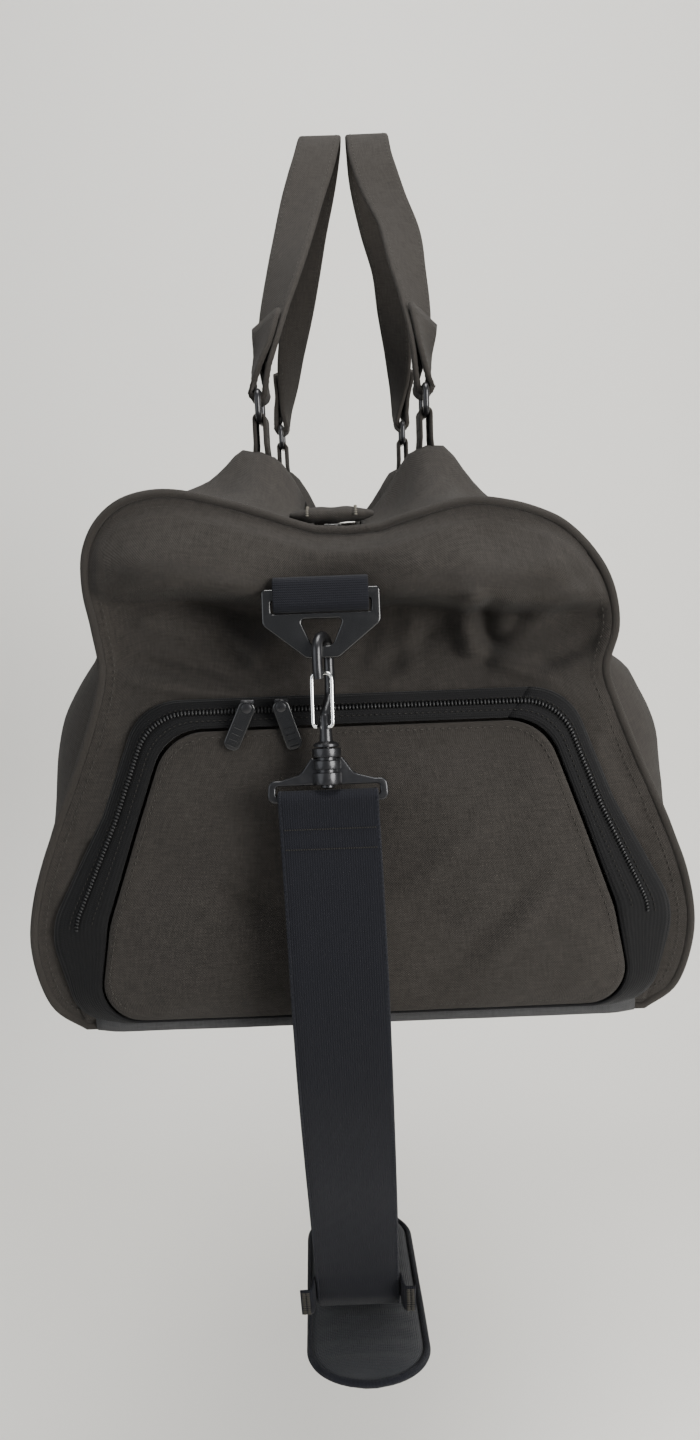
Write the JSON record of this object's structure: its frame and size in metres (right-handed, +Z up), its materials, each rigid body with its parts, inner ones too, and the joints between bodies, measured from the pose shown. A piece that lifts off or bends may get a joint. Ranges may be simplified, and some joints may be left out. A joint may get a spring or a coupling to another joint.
{
  "type": "duffel bag",
  "caption": "Canvas duffel bag with two carry handles, an end pocket, a top zip and a padded shoulder strap on swivel hooks.",
  "frame": {"origin": "on top of the two carry handles, where a hand holds them together", "axes": "+Z up, Y along the bag with the pocket end towards -Y, X across it"},
  "size_m": [0.3692, 0.5699, 0.7766],
  "materials": {
    "canvas": "coarse charcoal canvas",
    "webbing": "black woven webbing",
    "tape": "black zip tape",
    "pad_mesh": "ribbed black pad cloth",
    "coil": "nylon coil",
    "gloss_black": "glossy black moulding",
    "black_metal": "black lacquered die-cast metal",
    "steel_wire": "bright steel wire",
    "board": "plain stiffener board"
  },
  "bodies": {
    "bag": {"side_panel_left": "canvas", "side_panel_right": "canvas", "top_panel_left": "canvas", "top_panel_right": "canvas", "end_panel_near": "canvas", "end_panel_far": "canvas", "base_panel": "canvas", "base_board": "board", "piping_near": "canvas", "piping_far": "canvas", "pocket_panel": "canvas", "pocket_band": "tape", "pocket_chain": "coil", "zip_tape_left": "tape", "zip_tape_right": "tape", "zip_chain": "coil", "zip_stop_near": "tape", "zip_stop_far": "tape", "anchor_tab_left_near": "webbing", "anchor_tab_left_far": "webbing", "anchor_tab_right_near": "webbing", "anchor_tab_right_far": "webbing", "webbing_loop_near": "webbing", "webbing_loop_far": "webbing"},
    "handle_left": {"handle_left": "canvas", "handle_ring_left_near": "black_metal", "handle_ring_left_far": "black_metal"},
    "handle_right": {"handle_right": "canvas", "handle_ring_right_near": "black_metal", "handle_ring_right_far": "black_metal"},
    "plate_ring_near": {"plate_ring_near": "gloss_black"},
    "plate_ring_far": {"plate_ring_far": "gloss_black"},
    "strap": {"shoulder_strap": "webbing", "shoulder_pad": "pad_mesh", "pad_band": "webbing", "strap_adjuster": "gloss_black", "hook_loop_near": "black_metal", "hook_loop_far": "black_metal"},
    "snap_hook_near": {"snap_hook_near": "black_metal"},
    "snap_hook_far": {"snap_hook_far": "black_metal"},
    "gate_near": {"hook_gate_near": "steel_wire"},
    "gate_far": {"hook_gate_far": "steel_wire"},
    "main_slider": {"main_slider": "black_metal"},
    "main_pull": {"main_pull": "gloss_black"},
    "pocket_slider_left": {"pocket_slider_left": "black_metal"},
    "pocket_slider_right": {"pocket_slider_right": "black_metal"},
    "pocket_pull_left": {"pocket_pull_left": "gloss_black"},
    "pocket_pull_right": {"pocket_pull_right": "gloss_black"}
  },
  "joints": [
    {"name": "left_handle_fold", "type": "hinge", "parent": "bag", "child": "handle_left", "pos_m": [-0.05, 0, -0.19925], "axis": [0, -1, 0], "range_deg": [0, 105]},
    {"name": "right_handle_fold", "type": "hinge", "parent": "bag", "child": "handle_right", "pos_m": [0.05, 0, -0.19925], "axis": [0, 1, 0], "range_deg": [0, 105]},
    {"name": "near_ring_tilt", "type": "hinge", "parent": "bag", "child": "plate_ring_near", "pos_m": [-0.0148, -0.2573, -0.29625], "axis": [1, 0, 0], "range_deg": [-1.5, 1.5]},
    {"name": "far_ring_tilt", "type": "hinge", "parent": "bag", "child": "plate_ring_far", "pos_m": [-0.0148, 0.2573, -0.29625], "axis": [1, 0, 0], "range_deg": [-1.5, 1.5]},
    {"name": "strap_swing", "type": "hinge", "parent": "bag", "child": "strap", "pos_m": [-0.0148, 0, -0.32149], "axis": [0, 1, 0], "range_deg": [-15, 15]},
    {"name": "near_hook_swivel", "type": "hinge", "parent": "strap", "child": "snap_hook_near", "pos_m": [-0.0148, -0.26266, -0.32149], "axis": [0, 0.1788, 0.9839], "range_deg": [-2, 25]},
    {"name": "far_hook_swivel", "type": "hinge", "parent": "strap", "child": "snap_hook_far", "pos_m": [-0.0148, 0.26266, -0.32149], "axis": [0, -0.1788, 0.9839], "range_deg": [-2, 25]},
    {"name": "near_gate_open", "type": "hinge", "parent": "snap_hook_near", "child": "gate_near", "pos_m": [-0.01596, -0.27305, -0.36076], "axis": [-0.9397, 0.3365, -0.0612], "range_deg": [0, 12], "stiffness_Nm_per_rad": 0.02, "springref_deg": -11.46},
    {"name": "far_gate_open", "type": "hinge", "parent": "snap_hook_far", "child": "gate_far", "pos_m": [-0.01364, 0.27305, -0.36076], "axis": [0.9397, -0.3365, -0.0612], "range_deg": [0, 12], "stiffness_Nm_per_rad": 0.02, "springref_deg": -11.46},
    {"name": "main_slider_run", "type": "slide", "parent": "bag", "child": "main_slider", "axis": [0, 1, 0], "range_m": [-0.015, 0.335]},
    {"name": "main_pull_flip", "type": "hinge", "parent": "main_slider", "child": "main_pull", "pos_m": [-0.008, -0.172, -0.26315], "axis": [-1, 0, 0], "range_deg": [0, 170]},
    {"name": "left_pocket_slider_run", "type": "slide", "parent": "bag", "child": "pocket_slider_left", "axis": [1, 0, 0], "range_m": [-0.025, 0.004]},
    {"name": "right_pocket_slider_run", "type": "slide", "parent": "bag", "child": "pocket_slider_right", "axis": [1, 0, 0], "range_m": [-0.004, 0.118]},
    {"name": "left_pocket_pull_swing", "type": "hinge", "parent": "pocket_slider_left", "child": "pocket_pull_left", "pos_m": [-0.055, -0.2562, -0.3532], "axis": [0, -1, 0], "range_deg": [-30, 40]},
    {"name": "right_pocket_pull_swing", "type": "hinge", "parent": "pocket_slider_right", "child": "pocket_pull_right", "pos_m": [-0.0375, -0.2562, -0.3532], "axis": [0, -1, 0], "range_deg": [-20, 50]}
  ]
}
